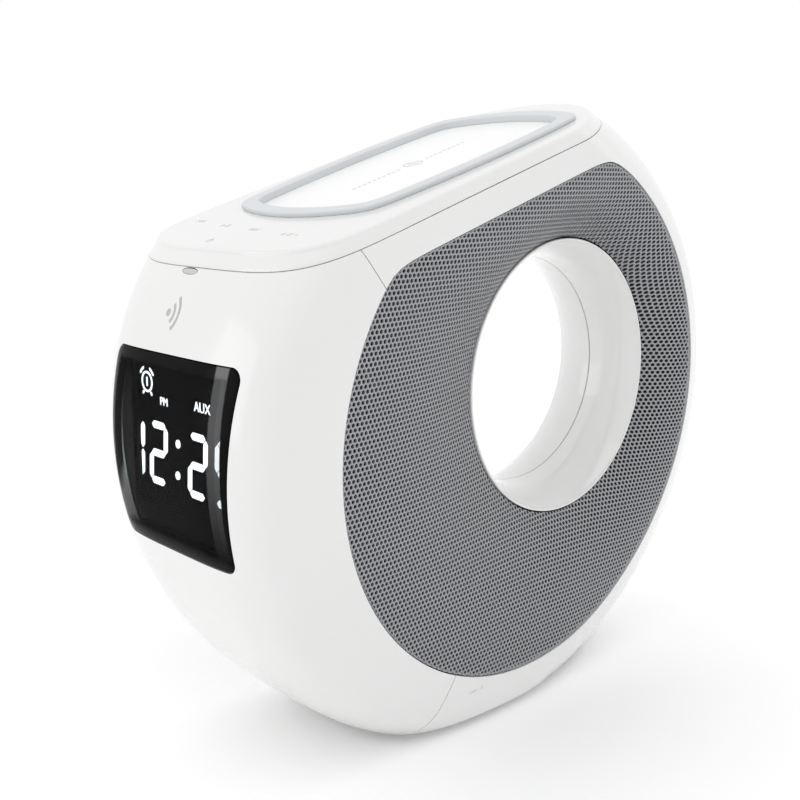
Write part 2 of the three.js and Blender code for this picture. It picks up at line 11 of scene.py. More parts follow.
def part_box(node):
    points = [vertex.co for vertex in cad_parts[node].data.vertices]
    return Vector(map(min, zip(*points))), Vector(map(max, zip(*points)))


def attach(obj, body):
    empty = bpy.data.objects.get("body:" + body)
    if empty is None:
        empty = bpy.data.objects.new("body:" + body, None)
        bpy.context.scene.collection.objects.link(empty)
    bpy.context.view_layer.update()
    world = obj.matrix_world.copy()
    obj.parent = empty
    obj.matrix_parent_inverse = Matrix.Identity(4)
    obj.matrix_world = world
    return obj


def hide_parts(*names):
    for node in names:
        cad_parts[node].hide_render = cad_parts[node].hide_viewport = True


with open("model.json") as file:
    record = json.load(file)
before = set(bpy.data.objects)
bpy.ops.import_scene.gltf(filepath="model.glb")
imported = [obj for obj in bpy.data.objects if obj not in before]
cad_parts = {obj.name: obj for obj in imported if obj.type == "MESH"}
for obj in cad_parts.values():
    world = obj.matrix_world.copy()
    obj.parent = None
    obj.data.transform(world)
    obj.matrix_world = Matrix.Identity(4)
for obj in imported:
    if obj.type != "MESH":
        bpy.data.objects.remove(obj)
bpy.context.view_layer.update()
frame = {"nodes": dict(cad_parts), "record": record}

bl_info = {
    "name": "Ring Clock Radio",
    "version": (1, 0, 0),
    "blender": (4, 5, 0),
    "location": "View3D > Sidebar > Clock Radio",
    "description": "Builds a ring-shaped clock radio with a charging top",
    "category": "Object",
}

ROOT = "root"
MM = 0.001                      # lengths below are in millimetres; meshes are in metres

# ---- the body's driving sizes, the same as the frame's -------------------------------------------
CROWN_RY, CROWN_RZ, CROWN_Z = 106.7, 99.1, 88.2
SIDE_Y, SIDE_Z, SIDE_FLAT, SIDE_HALF = -1.9, 90.2, 80.6, 35.0
TAPER_Y, TAPER_Z = -0.056, 0.059
REAR_ROUND, REAR_SQUARE, GRILLE_REAR = 36.0, 0.55, 7.5
BORE_Y, BORE_Z, BORE_R, BORE_WAIST = 23.5, 98.0, 43.0, 36.7
BORE_X, BORE_TOE = 19.7, -0.06
TILT = math.radians(18)
DECK, SEAM, GRILLE_TOP, GRILLE_R = 76.4, 72.3, 63.9, 77.2
GAP, WALL, BASE_Z = 0.3, 2.4, 2.3
PAD_HALF, PAD_FRONT, PAD_REAR, PAD_RIM, PAD_PROUD = 32.6, -72.1, 24.6, 4.8, 1.3
PAD_MID = (PAD_FRONT + PAD_REAR) / 2
PAD_SIDE_R, PAD_END_R, PAD_CORNER = 330.0, 66.0, 2.2
WINDOW_TOP, WINDOW_BOTTOM, WINDOW_HALF_TOP, WINDOW_HALF_BOTTOM, WINDOW_ROUND = 114.6, 63.8, 29.5, 26.3, 3.5
STATUS_X, STATUS_Z, STATUS_HALF, STATUS_RISE = -4.6, 135.2, 3.7, 0.75
LID_LOW, LID_THICK = SEAM + 0.14, 3.4    # the lid closes tightly on the casing
PLATE_SINK = 0.8                         # the white plate lies this far under the deck
PANEL_FACE_Y = -98.4
SOCKETS_Y, SOCKETS_Z, SOCKETS_W, SOCKETS_H, SOCKETS_TILT = 92.0, 38.0, 30.0, 18.0, math.radians(-32)


# ---- body surface --------------------------------------------------------------------------------
def crown_reach(angle, grow=0.0):
    """Distance from the side centre to the body's outline."""
    c, s = np.cos(angle), np.sin(angle)
    ry, rz = CROWN_RY + grow, CROWN_RZ + grow
    dy, dz = SIDE_Y, SIDE_Z - CROWN_Z
    a = (c / ry) ** 2 + (s / rz) ** 2
    b = 2 * (dy * c / ry**2 + dz * s / rz**2)
    k = (dy / ry) ** 2 + (dz / rz) ** 2 - 1
    return (-b + np.sqrt(b * b - 4 * a * k)) / (2 * a)


def side_x(y, z):
    return SIDE_HALF + TAPER_Y * (y - SIDE_Y) + TAPER_Z * (z - SIDE_Z)


def rearness(angle, power=1.5):
    return np.maximum(0, np.cos(angle)) ** power


def edge_power(angle):
    """The edge from side to outline is square at the front and round at the back."""
    return np.maximum(1.9, 2.25 - 1.85 * np.cos(angle)) + REAR_SQUARE * rearness(angle)


def flat_reach(angle, grow=0.0):
    """How far the flat side reaches; it rounds off earlier at the back."""
    return SIDE_FLAT - REAR_ROUND * rearness(angle) + grow / 2


def side_depth(y, z):
    """The edge's power at a place of the side view, and how far across the edge the place is."""
    angle = np.arctan2(z - SIDE_Z, y - SIDE_Y)
    flat = flat_reach(angle)
    depth = (np.hypot(y - SIDE_Y, z - SIDE_Z) - flat) / (crown_reach(angle) - flat)
    return edge_power(angle), np.clip(depth, 0, None)


def body_x(y, z):
    """Half width of the body over a place of its side view."""
    power, depth = side_depth(y, z)
    return side_x(y, z) * (1 - np.minimum(depth, 1) ** power) ** (1 / power)


def body_level(p):
    """Below 0 inside the body, 0 on its surface, for rows of points."""
    x, y, z = p.T
    power, depth = side_depth(y, z)
    return (np.abs(x) / side_x(y, z)) ** power + depth**power - 1


def to_surface(start, heading, far=170.0):
    """The points where rays from inside the body leave it."""
    start, heading = np.broadcast_arrays(np.asarray(start, float), np.asarray(heading, float))
    near, out = np.zeros(len(start)), np.full(len(start), far)
    for _ in range(40):
        middle = (near + out) / 2
        inside = body_level(start + heading * middle[:, None]) < 0
        near, out = np.where(inside, middle, near), np.where(inside, out, middle)
    return start + heading * near[:, None]


def surface_normal(p):
    step = 0.05
    slope = [body_level(p + step * axis) - body_level(p - step * axis) for axis in np.eye(3)]
    normal = np.array(slope).T
    return normal / np.linalg.norm(normal, axis=1)[:, None]


def on_front(x, z):
    """Points of the front surface over places (x, z)."""
    x, z = np.broadcast_arrays(np.asarray(x, float), np.asarray(z, float))
    start = np.stack([x, np.full(x.shape, -40.0), z], axis=1)
    return to_surface(start, np.array([[0.0, -1.0, 0.0]]))


def from_deck(x, y, z):
    """Body points of deck coordinates: y up the slope, z over the bore's centre."""
    x, y, z = np.broadcast_arrays(*(np.asarray(v, float) for v in (x, y, z)))
    c, s = math.cos(TILT), math.sin(TILT)
    return np.stack([x, BORE_Y + y * c - z * s, BORE_Z + y * s + z * c], axis=-1)


def round_angles(count):
    return np.arange(count) * (2 * math.pi / count)


def ray_to_circle(angle, centre_x, centre_y, radius):
    """Distance from the origin, inside the circle, to the circle along each angle."""
    along = np.cos(angle) * centre_x + np.sin(angle) * centre_y
    return along + np.sqrt(along**2 - centre_x**2 - centre_y**2 + radius**2)


def soft_least(lengths, blend):
    return -blend * np.log(sum(np.exp(-length / blend) for length in lengths))


def pad_reach(angle, inset):
    """The charging ring's outline from its middle: four shallow arcs with soft corners."""
    half, end = PAD_HALF - inset, (PAD_REAR - PAD_FRONT) / 2 - inset
    side_r, end_r = PAD_SIDE_R - inset, PAD_END_R - inset
    arcs = [
        ray_to_circle(angle, half - side_r, 0, side_r),
        ray_to_circle(angle, side_r - half, 0, side_r),
        ray_to_circle(angle, 0, end - end_r, end_r),
        ray_to_circle(angle, 0, end_r - end, end_r),
    ]
    return soft_least(arcs, PAD_CORNER)


def grille_reach(angle, grow=0.0):
    """Distance from the bore's centre to the grille's edge: a circle cut straight along the deck."""
    dy, dz = SIDE_Y - BORE_Y, SIDE_Z - BORE_Z
    circle = ray_to_circle(angle, dy, dz, GRILLE_R + grow)
    for _ in range(5):
        turn = np.arctan2(circle * np.sin(angle) - dz, circle * np.cos(angle) - dy)
        circle = ray_to_circle(angle, dy, dz, GRILLE_R + grow + GRILLE_REAR * rearness(turn, 2.5))
    rise = np.sin(angle) * math.cos(TILT) - np.cos(angle) * math.sin(TILT)
    straight = (GRILLE_TOP + grow) / np.maximum(rise, 0.2)
    soft = soft_least([circle, straight], 1.6)
    return np.where(rise <= 0.2, circle, soft)


def bore_x(angle):
    return BORE_X + BORE_TOE * BORE_R * np.cos(angle)


# ---- meshes --------------------------------------------------------------------------------------
def only(obj):
    """Makes obj the one selected and active object."""
    bpy.ops.object.select_all(action="DESELECT")
    obj.select_set(True)
    bpy.context.view_layer.objects.active = obj
    return obj


def mesh_piece(name, points, faces):
    """A new object at the origin from points in millimetres."""
    mesh = bpy.data.meshes.new(name)
    mesh.from_pydata((np.asarray(points, float) * MM).tolist(), [], faces)
    obj = bpy.data.objects.new(name, mesh)
    bpy.context.scene.collection.objects.link(obj)
    return only(obj)


def ring_faces(rows, across, closed_rows=False):
    """Quads between rows of points that each close on themselves."""
    last = rows if closed_rows else rows - 1
    faces = []
    for i in range(last):
        a, b = i * across, ((i + 1) % rows) * across
        faces += [(a + j, a + (j + 1) % across, b + (j + 1) % across, b + j) for j in range(across)]
    return faces


def capped_faces(rows, across):
    """The same quads with one flat face over each end."""
    ends = [tuple(reversed(range(across))), tuple(range((rows - 1) * across, rows * across))]
    return ring_faces(rows, across) + ends


def face_outwards(obj):
    only(obj)
    bpy.ops.object.mode_set(mode="EDIT")
    bpy.ops.mesh.select_all(action="SELECT")
    bpy.ops.mesh.normals_make_consistent(inside=False)
    bpy.ops.object.mode_set(mode="OBJECT")
    return obj


def smooth(obj, degrees=32):
    only(obj)
    bpy.ops.object.shade_smooth_by_angle(angle=math.radians(degrees))
    return obj


def apply_modifier(obj, kind, **settings):
    only(obj)
    bpy.ops.object.modifier_add(type=kind)
    modifier = obj.modifiers[-1]
    for key, value in settings.items():
        setattr(modifier, key, value)
    bpy.ops.object.modifier_apply(modifier=modifier.name)
    return obj


def carve(obj, operation, cutter):
    return apply_modifier(obj, "BOOLEAN", operation=operation, solver="EXACT", object=cutter)


def discard(*objs):
    for obj in objs:
        bpy.data.objects.remove(obj)


def copy_of(obj, name):
    twin = obj.copy()
    twin.data = obj.data.copy()
    twin.name = twin.data.name = name
    bpy.context.scene.collection.objects.link(twin)
    return twin


def mirrored_copy(obj, name):
    """The same piece on the other side of the middle plane, with its own mesh."""
    twin = copy_of(obj, name)
    twin.data.transform(Matrix.Scale(-1, 4, (1, 0, 0)))
    twin.data.flip_normals()
    return twin


def prism(name, outline, along):
    """A closed prism from a loop of 3-D points, extruded along a vector."""
    outline = np.asarray(outline, float)
    count = len(outline)
    points = np.concatenate([outline, outline + np.asarray(along, float)])
    faces = [tuple(range(count)), tuple(range(2 * count - 1, count - 1, -1))]
    faces += [(j, j + count, (j + 1) % count + count, (j + 1) % count) for j in range(count)]
    return face_outwards(mesh_piece(name, points, faces))


def deck_slab(name, low, high):
    corners = from_deck([-90, 90, 90, -90], [-200, -200, 200, 200], low)
    return prism(name, corners, from_deck(0, 0, high) - from_deck(0, 0, low))


def pebble(name, grow, segments=224, rings=52):
    """The whole body as one closed form: a sphere whose rows are moved onto the body's surface."""
    bpy.ops.object.select_all(action="DESELECT")
    bpy.ops.mesh.primitive_uv_sphere_add(
        segments=segments, ring_count=rings, radius=1, rotation=(0, math.pi / 2, 0))
    obj = bpy.context.object
    obj.name = obj.data.name = name
    bpy.ops.object.transform_apply(location=False, rotation=True, scale=False)
    ball = np.zeros(len(obj.data.vertices) * 3)
    obj.data.vertices.foreach_get("co", ball)
    x, y, z = ball.reshape(-1, 3).T
    first = math.pi / rings
    share = np.clip((np.arccos(np.clip(np.abs(x), 0, 1)) - first) / (math.pi / 2 - first), 0, 1)
    pole = np.abs(x) > math.cos(first / 2)
    angle = np.arctan2(z, y)
    power = edge_power(angle)
    turn = share * math.pi / 2
    flat = flat_reach(angle, grow)
    reach = flat + (crown_reach(angle, grow) - flat) * np.sin(turn) ** (2 / power)
    reach = np.where(pole, 0, reach)
    py, pz = SIDE_Y + reach * np.cos(angle), SIDE_Z + reach * np.sin(angle)
    middle = np.abs(x) < math.sin(first / 2)
    px = np.sign(x) * (side_x(py, pz) + grow) * np.where(middle, 0, np.cos(turn) ** (2 / power))
    obj.data.vertices.foreach_set("co", (np.stack([px, py, pz], axis=1) * MM).ravel())
    obj.data.update()
    return obj


def finish_piece(obj, look, slot, *nodes, body=ROOT):
    """Gives a finished piece its material and its body, and hides the frame's nodes that it stands for; slot
    is not used.
    """
    obj.data.materials.clear()
    obj.data.materials.append(look)
    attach(obj, body)
    if nodes:
        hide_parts(*nodes)
    return obj


def flush_patch(name, outline, depth, rings=14, soften=0.35):
    """A piece let into the front: rings of an outline (x, z), laid on the surface, with a soft edge."""
    outline = np.asarray(outline, float)
    count, centre = len(outline), outline.mean(0)
    rows = []
    for share in np.linspace(0.04, 1, rings):
        place = centre + (outline - centre) * share
        rows.append(on_front(*place.T))
    normals = surface_normal(rows[-1])
    inward = rows[-2] - rows[-1]
    inward /= np.linalg.norm(inward, axis=1)[:, None]
    base = rows[:-1] + [rows[-1] + inward * soften]
    edge = [rows[-1] + inward * soften * (1 - math.sin(t)) - normals * soften * (1 - math.cos(t))
            for t in np.radians([20, 40, 65, 90])]
    wall = [rows[-1] - normals * depth * k for k in (0.5, 1)]
    floor = [row - surface_normal(row) * depth for row in reversed(rows[:-1])]
    stack = base + edge + wall + floor
    return smooth(face_outwards(mesh_piece(name, np.concatenate(stack), capped_faces(len(stack), count))), 40)


def window_outline(grow=0.0, per_corner=9, per_side=12):
    """The window's outline as (x, z): a trapezium with round corners."""
    low, high = WINDOW_BOTTOM - grow, WINDOW_TOP + grow
    half_low, half_high, radius = WINDOW_HALF_BOTTOM + grow, WINDOW_HALF_TOP + grow, WINDOW_ROUND
    corners = [(half_low, low, 270), (half_high, high, 0), (-half_high, high, 90), (-half_low, low, 180)]
    loop = []
    for x, z, start in corners:
        cx, cz = x - math.copysign(radius, x), z + (radius if z == low else -radius)
        for t in np.radians(np.linspace(start, start + 90, per_corner)):
            loop.append((cx + radius * math.cos(t), cz + radius * math.sin(t)))
    dense = []
    for i, here in enumerate(loop):
        after = loop[(i + 1) % len(loop)]
        steps = per_side if i % per_corner == per_corner - 1 else 1
        dense += [np.array(here) + (np.array(after) - np.array(here)) * k / steps for k in range(steps)]
    return np.array(dense)


def status_outline(grow=0.0):
    t = round_angles(40)
    return np.stack([STATUS_X + (STATUS_HALF + grow) * np.cos(t),
                     STATUS_Z + (STATUS_RISE + grow) * np.sin(t)], axis=1)


# ---- materials -----------------------------------------------------------------------------------
class Value:
    """One socket of a material; arithmetic on it adds the Math nodes."""

    def __init__(self, look, socket):
        self.look, self.socket = look, socket

    def maths(self, operation, *others):
        return self.look.node("ShaderNodeMath", {"operation": operation}, self, *others).out(0)

    def __add__(self, other):
        return self.maths("ADD", other)

    def __mul__(self, other):
        return self.maths("MULTIPLY", other)

    def __sub__(self, other):
        return self.maths("SUBTRACT", other)

    def __rsub__(self, other):
        return self.look.node("ShaderNodeMath", {"operation": "SUBTRACT"}, other, self).out(0)

    __radd__, __rmul__ = __add__, __mul__

    def larger(self, other):
        return self.maths("MAXIMUM", other)

    def step(self, low, high):
        """0 below low, 1 above high, smooth between."""
        settings = {"interpolation_type": "SMOOTHSTEP"}
        return self.look.node("ShaderNodeMapRange", settings, self, low, high, 0.0, 1.0).out(0)


class Node:
    def __init__(self, look, node):
        self.look, self.node = look, node

    def out(self, key):
        return Value(self.look, self.node.outputs[key])


class Look:
    """A new material: one method adds any node, and the Principled shader takes what it is given."""

    def __init__(self, name):
        self.material = bpy.data.materials.new(name)
        self.material.use_nodes = True
        self.tree = self.material.node_tree
        self.tree.nodes.clear()
        self.place = self.node("ShaderNodeTexCoord").out("Object")

    def node(self, kind, settings=None, *values, **named):
        made = self.tree.nodes.new(kind)
        for key, value in (settings or {}).items():
            setattr(made, key, value)
        for key, value in [*enumerate(values), *((k.replace("_", " "), v) for k, v in named.items())]:
            if isinstance(value, Value):
                self.tree.links.new(value.socket, made.inputs[key])
            else:
                made.inputs[key].default_value = value
        return Node(self, made)

    def noise(self, scale, detail=2.0, rough=0.5):
        return self.node("ShaderNodeTexNoise", None, Vector=self.place, Scale=scale, Detail=detail,
                         Roughness=rough).out("Fac")

    def axis(self, key):
        return self.node("ShaderNodeSeparateXYZ", None, self.place).out(key)

    def mix(self, amount, first, second):
        made = self.node("ShaderNodeMix", {"data_type": "RGBA"}).node
        for index, value in ((0, amount), (6, first), (7, second)):
            if isinstance(value, Value):
                self.tree.links.new(value.socket, made.inputs[index])
            else:
                made.inputs[index].default_value = value
        return Value(self, made.outputs[2])

    def bump(self, height, strength, distance):
        return self.node("ShaderNodeBump", None, Height=height, Strength=strength, Distance=distance).out(0)

    def shade(self, **inputs):
        shader = self.node("ShaderNodeBsdfPrincipled", None, **inputs).out(0)
        self.node("ShaderNodeOutputMaterial", None, Surface=shader)
        return self.material


def shade_of(color, factor):
    return (*(channel * factor for channel in color[:3]), 1.0)


def moulded_gloss(name, color, roughness, coat=0.35):
    """Injection-moulded glossy plastic: a slight flow in the colour, a faint ripple in the shine."""
    look = Look(name)
    flow = look.noise(28, 3)
    grain = look.noise(1500, 2)
    tone = look.mix(flow, shade_of(color, 0.975), shade_of(color, 1.015))
    ripple = look.bump(look.noise(210, 2) + 0.25 * grain, 0.05, 0.0002)
    return look.shade(Base_Color=tone, Roughness=roughness + 0.05 * flow + 0.02 * grain, Coat_Weight=coat,
                      Coat_Roughness=0.04, IOR=1.5, Normal=ripple)


def moulded_matt(name, color, roughness=0.55):
    """Spark-eroded matt plastic with a fine even grain."""
    look = Look(name)
    grain = look.noise(2600, 3)
    tone = look.mix(look.noise(60, 2), shade_of(color, 0.85), shade_of(color, 1.15))
    return look.shade(Base_Color=tone, Roughness=roughness + 0.1 * grain,
                      Normal=look.bump(grain, 0.25, 0.0001))


def soft_rubber(name, color):
    look = Look(name)
    grain = look.noise(3200, 2)
    worn = look.noise(45, 4)
    tone = look.mix(worn, shade_of(color, 0.94), shade_of(color, 1.04))
    return look.shade(Base_Color=tone, Roughness=0.52 + 0.12 * worn, Sheen_Weight=0.15,
                      Normal=look.bump(grain, 0.2, 0.00012))


def painted_sheet(name, color):
    """Satin paint on perforated steel, with faint flake."""
    look = Look(name)
    flake = look.noise(5200, 1)
    cloud = look.noise(70, 3)
    tone = look.mix(flake, shade_of(color, 0.8), shade_of(color, 1.2))
    return look.shade(Base_Color=tone, Metallic=0.35, Roughness=0.38 + 0.12 * cloud,
                      Normal=look.bump(flake, 0.12, 0.00005))


def bright_metal(name, color, roughness=0.28):
    look = Look(name)
    brush = look.noise(900, 4, 0.7)
    tone = look.mix(brush, shade_of(color, 0.85), shade_of(color, 1.1))
    return look.shade(Base_Color=tone, Metallic=1.0, Roughness=roughness + 0.15 * brush)


def circuit_mask(name, color):
    """Solder mask over copper tracks that run in two directions."""
    look = Look(name)
    tracks = look.node("ShaderNodeTexBrick", {"offset": 0.5}, Vector=look.place, Scale=260.0,
                       Mortar_Size=0.012).out("Fac")
    tone = look.mix(tracks, shade_of(color, 1.0), shade_of(color, 1.9))
    return look.shade(Base_Color=tone, Roughness=0.35 + 0.1 * look.noise(500),
                      Normal=look.bump(tracks, 0.3, 0.00005))


def wound_wire(name, color):
    """Enamelled turns round the coil's middle."""
    look = Look(name)
    turns = look.node("ShaderNodeTexWave", {"wave_type": "RINGS", "rings_direction": "Z"}, Vector=look.place,
                      Scale=420.0).out("Fac")
    tone = look.mix(turns, shade_of(color, 0.5), shade_of(color, 1.1))
    return look.shade(Base_Color=tone, Metallic=0.9, Roughness=0.3, Normal=look.bump(turns, 0.5, 0.0002))


def flat_black(name, color=(0.006, 0.006, 0.006)):
    """Light-absorbing black behind the window."""
    look = Look(name)
    grainy = look.noise(700, 3)
    return look.shade(Base_Color=look.mix(grainy, shade_of(color, 0.8), shade_of(color, 1.2)),
                      Roughness=0.6 + 0.15 * grainy, Specular_IOR_Level=0.06)


LENS_LEFT, LENS_REFLECTION_X, LENS_RIGHT = -27.2, 20.4, 25.2         # x where the lens's borders and its band of painted reflection start


def smoked_lens(name, color, clear):
    """Dark clear plastic: see-through over the display, solid at its rim, with a painted reflection: a paler,
    less clear band at the right that is paler upwards.
    """
    look = Look(name)
    x, z = look.axis("X"), look.axis("Z")
    right_edge = x.step(LENS_RIGHT * MM, (LENS_RIGHT + 0.6) * MM)
    left_edge = 1 - x.step(LENS_LEFT * MM, (LENS_LEFT + 0.6) * MM)
    # the band at the right where a reflection is painted into the lens's colour
    reflection_band = x.step(LENS_REFLECTION_X * MM, (LENS_REFLECTION_X + 0.6) * MM) * (1 - right_edge)
    high = z.step((WINDOW_TOP - 3.6) * MM, (WINDOW_TOP - 2.1) * MM)
    low = 1 - z.step((WINDOW_BOTTOM + 1.2) * MM, (WINDOW_BOTTOM + 4.2) * MM)
    border = high.larger(low).larger(right_edge).larger(left_edge)
    # painted reflection: the band is tinted pale grey, more strongly towards the top, in place of light
    # caught by the curved glass
    painted_reflection = reflection_band * z.step(62 * MM, 100 * MM)
    tone = look.mix(painted_reflection, shade_of(color, 1.0), (0.15, 0.152, 0.155, 1.0))
    alpha = (border * (1 - clear) + clear).larger(reflection_band * 0.5)
    return look.shade(Base_Color=tone, Roughness=0.035 + 0.02 * look.noise(90, 2), IOR=1.18,
                      Specular_IOR_Level=0.15, Alpha=alpha)


def lit_segments(name, color, strength):
    """Diffused light, slightly uneven."""
    look = Look(name)
    patchy = look.noise(350, 2)
    glow = look.mix(patchy, shade_of(color, 0.88), shade_of(color, 1.0))
    return look.shade(Base_Color=glow, Emission_Color=glow, Emission_Strength=strength, Roughness=0.4)


def printed_ink(name, color):
    look = Look(name)
    worn = look.noise(900, 3)
    return look.shade(Base_Color=look.mix(worn, shade_of(color, 0.85), shade_of(color, 1.15)),
                      Roughness=0.35 + 0.15 * worn)


# ---- settings ------------------------------------------------------------------------------------
def length(name, description, value):
    return bpy.props.FloatProperty(name=name, description=description, default=value * MM, min=0.0,
                                   unit="LENGTH", precision=5)


def tint(name, description, value):
    return bpy.props.FloatVectorProperty(name=name, description=description, default=value, size=3,
                                         min=0.0, max=1.0, subtype="COLOR")


class RadioSizes(bpy.types.PropertyGroup):
    hole_pitch: length("Hole pitch", "Distance between the grille's holes", 1.52)
    hole_width: length("Hole width", "Width of one hole of the grille", 1.04)
    sheet: length("Sheet thickness", "Thickness of the perforated sheet", 0.5)
    deck_round: length("Deck edge radius", "Rounding of the lid's upper edge", 0.9)
    ring_round: length("Ring edge radius", "Rounding of the rubber ring's edges", 0.55)
    digit_height: length("Digit height", "Height of the time's digits", 17.5)
    digit_width: length("Digit width", "Width of one digit", 9.4)
    stroke: length("Segment width", "Width of a lit segment", 2.0)


class RadioColours(bpy.types.PropertyGroup):
    casing: tint("Casing", "Glossy casing", (0.75, 0.75, 0.745))
    liner: tint("Hole lining", "Glossy lining of the hole", (0.76, 0.76, 0.755))
    plate: tint("Plate", "White plate inside the ring", (0.88, 0.88, 0.88))
    ring: tint("Ring", "Rubber charging ring", (0.62, 0.64, 0.655))
    sheet: tint("Grille", "Painted perforated sheet", (0.31, 0.315, 0.33))
    smoke: tint("Window", "Smoked window", (0.004, 0.004, 0.004))
    glow: tint("Display light", "Lit segments", (0.86, 0.95, 1.0))
    ink: tint("Printing", "Printed marks", (0.42, 0.42, 0.42))
    floor: tint("Floor", "Studio floor", (0.96, 0.96, 0.96))


def sizes():
    return bpy.context.scene.radio_sizes


def colours():
    return bpy.context.scene.radio_colours


def in_mm(value):
    return value / MM


# ---- casing --------------------------------------------------------------------------------------
def seam_line(shift):
    """The seam between the front and rear casing as (y, z): past the grille, out to the base."""
    return [(-84 + shift, 152), (-66 + shift, 131), (-33 + shift, 21), (-47 + shift, 0)]


def side_prism(name, outline, low=-60.0, high=60.0):
    loop = [(low, y, z) for y, z in outline]
    return prism(name, loop, (high - low, 0, 0))


def socket_block(name, width, height, near, far, x=0.0):
    """A block in the sockets' own tilted frame."""
    c, s = math.cos(SOCKETS_TILT), math.sin(SOCKETS_TILT)
    loop = []
    for dx, dz in ((-1, -1), (1, -1), (1, 1), (-1, 1)):
        z = dz * height / 2
        loop.append((x + dx * width / 2, SOCKETS_Y + near * c - z * s, SOCKETS_Z + near * s + z * c))
    return prism(name, loop, (0, (far - near) * c, (far - near) * s))


def build_casing():
    body = pebble("body", 0)
    inside = pebble("inside", -WALL)
    carve(body, "DIFFERENCE", inside)
    under_lid = deck_slab("under_lid", -220, SEAM)
    over_base = side_prism("over_base", [(-150, BASE_Z), (150, BASE_Z), (150, 230), (-150, 230)])
    angle = round_angles(220)
    reach = grille_reach(angle, GAP)
    loop = [(y, z) for y, z in zip(BORE_Y + reach * np.cos(angle), BORE_Z + reach * np.sin(angle))]
    right = side_prism("right_opening", loop, 8)
    left = side_prism("left_opening", loop, -60, -8)
    carve(body, "INTERSECT", under_lid)
    carve(body, "INTERSECT", over_base)
    carve(body, "DIFFERENCE", right)
    carve(body, "DIFFERENCE", left)
    front = copy_of(body, "front_casing")
    rear = body
    rear.name = rear.data.name = "rear_casing"
    ahead = side_prism("ahead", [(-140, -20), (-140, 170), *seam_line(0), (-47, -20)])
    round_back = [(-47 + GAP, -20), (140, -20), (140, 230), (-84 + GAP, 230)]
    behind = side_prism("behind", [*seam_line(GAP), *round_back])
    carve(front, "INTERSECT", ahead)
    carve(rear, "INTERSECT", behind)
    window = prism("window_opening", [(x, -130, z) for x, z in window_outline(GAP)], (0, 50, 0))
    status = prism("status_opening", [(x, -130, z) for x, z in status_outline(0.12)], (0, 50, 0))
    carve(front, "DIFFERENCE", window)
    carve(front, "DIFFERENCE", status)
    sockets = socket_block("socket_opening", SOCKETS_W + 2 * GAP, SOCKETS_H + 2 * GAP, -12, 14)
    carve(rear, "DIFFERENCE", sockets)
    discard(inside, under_lid, over_base, right, left, ahead, behind, window, status, sockets)
    return smooth(front), smooth(rear)


def deck_outline(angle, height):
    """The body's edge at a height over the bore, round the pad's middle, as reach along each angle."""
    start = from_deck(np.zeros(len(angle)), PAD_MID, height)
    ahead = from_deck(np.cos(angle), PAD_MID + np.sin(angle), height) - start
    found = to_surface(start, ahead)
    return np.linalg.norm(found - start, axis=1)


def deck_row(angle, reach, height):
    return from_deck(reach * np.cos(angle), PAD_MID + reach * np.sin(angle), height)


def build_lid():
    """The lid: a rounded deck edge, a side that follows the body, and a recess for the plate."""
    angle = round_angles(288)
    radius = in_mm(sizes().deck_round)
    soft = 0.25
    rows = [deck_row(angle, deck_outline(angle, LID_LOW) - soft, LID_LOW)]
    for height in np.linspace(LID_LOW + soft, DECK - radius, 5):
        rows.append(deck_row(angle, deck_outline(angle, height), height))
    for turn in np.linspace(0, math.pi / 2, 9)[1:]:
        height = DECK - radius + radius * math.sin(turn)
        reach = deck_outline(angle, DECK - radius) - radius * (1 - math.cos(turn))
        rows.append(deck_row(angle, reach, height))
    edge = deck_outline(angle, DECK - radius) - radius
    recess = pad_reach(angle, PAD_RIM / 2)
    for share in (0.12, 0.4, 0.8, 1.0):
        rows.append(deck_row(angle, edge + (recess - edge) * share, DECK))
    rows.append(deck_row(angle, recess, DECK - LID_THICK))
    inner = deck_outline(angle, LID_LOW) - WALL
    rows.append(deck_row(angle, inner, DECK - LID_THICK))
    rows.append(deck_row(angle, inner, LID_LOW))
    faces = ring_faces(len(rows), len(angle), True)
    return smooth(face_outwards(mesh_piece("lid", np.concatenate(rows), faces)), 50)


def build_ring():
    """The rubber ring: a flat-topped band with soft shoulders, standing proud of the lid."""
    angle = round_angles(288)
    radius = in_mm(sizes().ring_round)
    top, low = DECK + PAD_PROUD, DECK + 0.02
    profile = [(0.15, low), (0.0, low + 0.2)]
    for turn in np.linspace(0, math.pi / 2, 7):
        profile.append((radius * (1 - math.cos(turn)), top - radius + radius * math.sin(turn)))
    profile += [(PAD_RIM / 2, top + 0.05)]
    for turn in np.linspace(math.pi / 2, 0, 7):
        profile.append((PAD_RIM - radius * (1 - math.cos(turn)), top - radius + radius * math.sin(turn)))
    profile += [(PAD_RIM, DECK - 0.75), (PAD_RIM / 2 + 0.4, DECK - 0.75), (PAD_RIM / 2 + 0.4, low)]
    rows = [deck_row(angle, pad_reach(angle, inset), height) for inset, height in profile]
    faces = ring_faces(len(rows), len(angle), True)
    return smooth(face_outwards(mesh_piece("charging_ring", np.concatenate(rows), faces)), 40)


def build_pad():
    """The white plate inside the ring, just under the lid's surface."""
    angle = round_angles(288)
    top, low, inset, bevel = DECK - PLATE_SINK, DECK - 3.0, PAD_RIM / 2 + GAP, 0.2
    rows = [deck_row(angle, pad_reach(angle, inset) * share, top) for share in (0.03, 0.5, 0.9)]
    rows += [deck_row(angle, pad_reach(angle, inset + bevel), top)]
    rows += [deck_row(angle, pad_reach(angle, inset), height) for height in (top - bevel, low)]
    rows += [deck_row(angle, pad_reach(angle, inset) * 0.03, low)]
    faces = capped_faces(len(rows), len(angle))
    return smooth(face_outwards(mesh_piece("charging_plate", np.concatenate(rows), faces)), 30)


